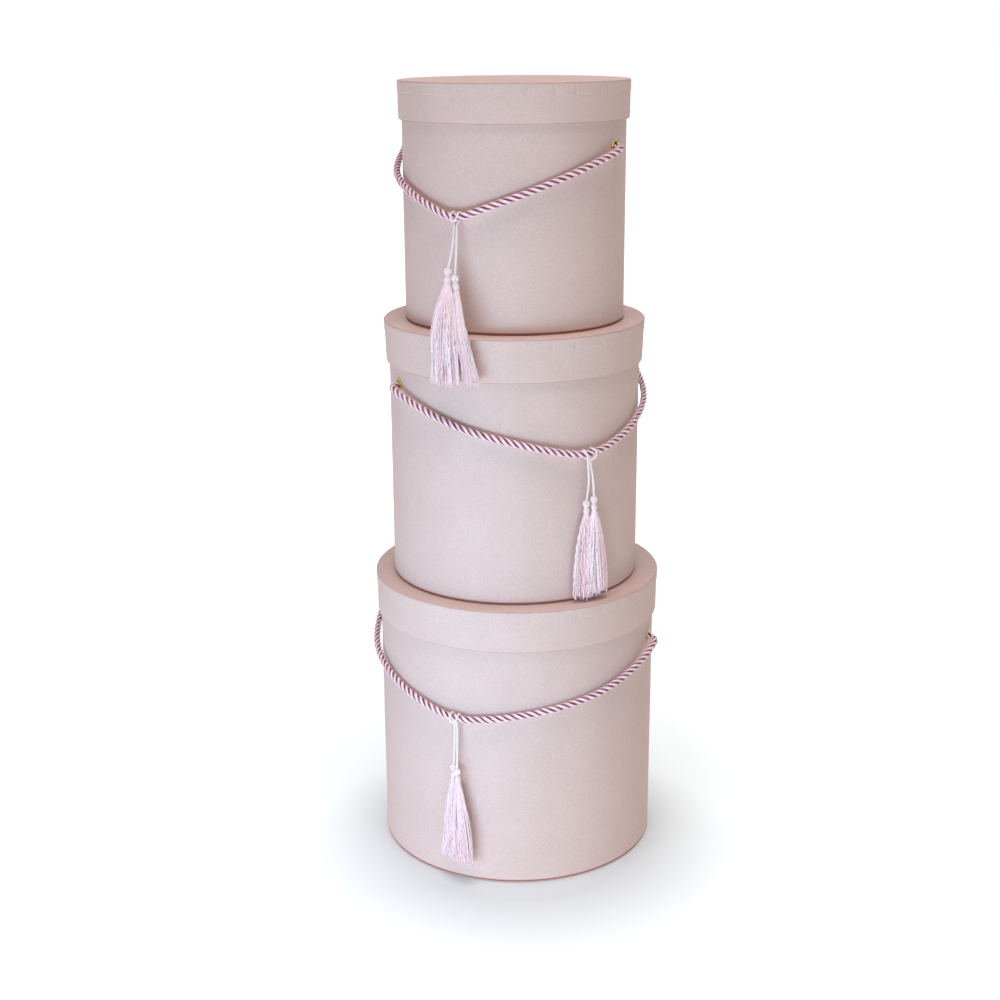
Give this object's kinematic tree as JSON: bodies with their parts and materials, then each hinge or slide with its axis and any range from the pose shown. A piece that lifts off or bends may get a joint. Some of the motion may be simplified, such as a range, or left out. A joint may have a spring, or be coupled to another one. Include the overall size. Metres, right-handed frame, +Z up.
{
  "type": "hat box set",
  "caption": "Round paper-covered hat boxes, stacked by size, with loose lids, twisted cord handles through brass eyelets, and paired tassels.",
  "frame": {"origin": "centre of the largest box's underside, on the surface it stands on", "axes": "+Z up through the stack, -Y is the front where the handles hang, +X is to the right seen from the front"},
  "size_m": [0.2547, 0.2538, 0.6697],
  "materials": {
    "blush_paper": "matt, fine linen grain",
    "ivory_paper": "matt",
    "greyboard": "matt",
    "brass": "polished",
    "handle_cord": "satin, three twisted strands",
    "tassel_cord": "satin",
    "tassel_thread": "glossy viscose thread"
  },
  "bodies": {
    "large_box": {"large_wall_board": "greyboard", "large_wall_paper": "blush_paper", "large_wall_lining": "ivory_paper", "large_base_board": "greyboard", "large_base_paper": "ivory_paper", "large_base_lining": "ivory_paper", "large_eyelets": "brass", "large_eyelet_washers": "brass"},
    "large_lid": {"large_lid_top_board": "greyboard", "large_lid_rim_board": "greyboard", "large_lid_top_paper": "blush_paper", "large_lid_rim_paper": "blush_paper", "large_lid_lining": "ivory_paper"},
    "large_handle": {"large_handle_cord": "handle_cord", "large_cord_knots": "handle_cord"},
    "large_hitch": {"large_tassel_hitch": "tassel_cord"},
    "large_tassel_left": {"large_tassel_left_cord": "tassel_cord", "large_tassel_left_skirt": "tassel_thread"},
    "large_tassel_right": {"large_tassel_right_cord": "tassel_cord", "large_tassel_right_skirt": "tassel_thread"},
    "medium_box": {"medium_wall_board": "greyboard", "medium_wall_paper": "blush_paper", "medium_wall_lining": "ivory_paper", "medium_base_board": "greyboard", "medium_base_paper": "ivory_paper", "medium_base_lining": "ivory_paper", "medium_eyelets": "brass", "medium_eyelet_washers": "brass"},
    "medium_lid": {"medium_lid_top_board": "greyboard", "medium_lid_rim_board": "greyboard", "medium_lid_top_paper": "blush_paper", "medium_lid_rim_paper": "blush_paper", "medium_lid_lining": "ivory_paper"},
    "medium_handle": {"medium_handle_cord": "handle_cord", "medium_cord_knots": "handle_cord"},
    "medium_hitch": {"medium_tassel_hitch": "tassel_cord"},
    "medium_tassel_left": {"medium_tassel_left_cord": "tassel_cord", "medium_tassel_left_skirt": "tassel_thread"},
    "medium_tassel_right": {"medium_tassel_right_cord": "tassel_cord", "medium_tassel_right_skirt": "tassel_thread"},
    "small_box": {"small_wall_board": "greyboard", "small_wall_paper": "blush_paper", "small_wall_lining": "ivory_paper", "small_base_board": "greyboard", "small_base_paper": "ivory_paper", "small_base_lining": "ivory_paper", "small_eyelets": "brass", "small_eyelet_washers": "brass"},
    "small_lid": {"small_lid_top_board": "greyboard", "small_lid_rim_board": "greyboard", "small_lid_top_paper": "blush_paper", "small_lid_rim_paper": "blush_paper", "small_lid_lining": "ivory_paper"},
    "small_handle": {"small_handle_cord": "handle_cord", "small_cord_knots": "handle_cord"},
    "small_hitch": {"small_tassel_hitch": "tassel_cord"},
    "small_tassel_left": {"small_tassel_left_cord": "tassel_cord", "small_tassel_left_skirt": "tassel_thread"},
    "small_tassel_right": {"small_tassel_right_cord": "tassel_cord", "small_tassel_right_skirt": "tassel_thread"}
  },
  "joints": [
    {"name": "large_lid_lift", "type": "slide", "parent": "large_box", "child": "large_lid", "axis": [0, 0, 1], "range_m": [0, 0.06]},
    {"name": "large_handle_swing", "type": "hinge", "parent": "large_box", "child": "large_handle", "pos_m": [0, 0, 0.196], "axis": [-0.9455, 0.3256, 0], "range_deg": [0, 24]},
    {"name": "large_hitch_turn", "type": "hinge", "parent": "large_handle", "child": "large_hitch", "pos_m": [-0.05402, -0.11585, 0.1534], "axis": [-0.9455, 0.3256, 0], "range_deg": [-24, 0]},
    {"name": "large_tassel_left_swing", "type": "hinge", "parent": "large_hitch", "child": "large_tassel_left", "pos_m": [-0.05402, -0.11585, 0.1478], "axis": [0.4226, 0.9063, 0], "range_deg": [0, 20]},
    {"name": "large_tassel_right_swing", "type": "hinge", "parent": "large_hitch", "child": "large_tassel_right", "pos_m": [-0.05402, -0.11585, 0.1478], "axis": [-0.4226, -0.9063, 0], "range_deg": [0, 20]},
    {"name": "medium_box_lift", "type": "slide", "parent": "large_lid", "child": "medium_box", "axis": [0, 0, 1], "range_m": [0, 0.06]},
    {"name": "medium_lid_lift", "type": "slide", "parent": "medium_box", "child": "medium_lid", "axis": [0, 0, 1], "range_m": [0, 0.06]},
    {"name": "medium_handle_swing", "type": "hinge", "parent": "medium_box", "child": "medium_handle", "pos_m": [-0.0016, 0, 0.4246], "axis": [-0.9063, -0.4226, 0], "range_deg": [0, 20]},
    {"name": "medium_hitch_turn", "type": "hinge", "parent": "medium_handle", "child": "medium_hitch", "pos_m": [0.06095, -0.09451, 0.378], "axis": [-0.9063, -0.4226, 0], "range_deg": [-20, 0]},
    {"name": "medium_tassel_left_swing", "type": "hinge", "parent": "medium_hitch", "child": "medium_tassel_left", "pos_m": [0.06095, -0.09451, 0.3724], "axis": [-0.5519, 0.8339, 0], "range_deg": [0, 20]},
    {"name": "medium_tassel_right_swing", "type": "hinge", "parent": "medium_hitch", "child": "medium_tassel_right", "pos_m": [0.06095, -0.09451, 0.3724], "axis": [0.5519, -0.8339, 0], "range_deg": [0, 20]},
    {"name": "small_box_lift", "type": "slide", "parent": "medium_lid", "child": "small_box", "axis": [0, 0, 1], "range_m": [0, 0.06]},
    {"name": "small_lid_lift", "type": "slide", "parent": "small_box", "child": "small_lid", "axis": [0, 0, 1], "range_m": [0, 0.06]},
    {"name": "small_handle_swing", "type": "hinge", "parent": "small_box", "child": "small_handle", "pos_m": [-0.0011, 0, 0.6187], "axis": [-0.866, 0.5, 0], "range_deg": [0, 32]},
    {"name": "small_hitch_turn", "type": "hinge", "parent": "small_handle", "child": "small_hitch", "pos_m": [-0.04968, -0.08622, 0.5679], "axis": [-0.866, 0.5, 0], "range_deg": [-32, 0]},
    {"name": "small_tassel_left_swing", "type": "hinge", "parent": "small_hitch", "child": "small_tassel_left", "pos_m": [-0.04968, -0.08622, 0.5623], "axis": [0.4909, 0.8712, 0], "range_deg": [0, 20]},
    {"name": "small_tassel_right_swing", "type": "hinge", "parent": "small_hitch", "child": "small_tassel_right", "pos_m": [-0.04968, -0.08622, 0.5623], "axis": [-0.4909, -0.8712, 0], "range_deg": [0, 20]}
  ],
  "couplings": [
    {"joint": "large_hitch_turn", "follows": "large_handle_swing", "ratio": -1},
    {"joint": "medium_hitch_turn", "follows": "medium_handle_swing", "ratio": -1},
    {"joint": "small_hitch_turn", "follows": "small_handle_swing", "ratio": -1}
  ]
}
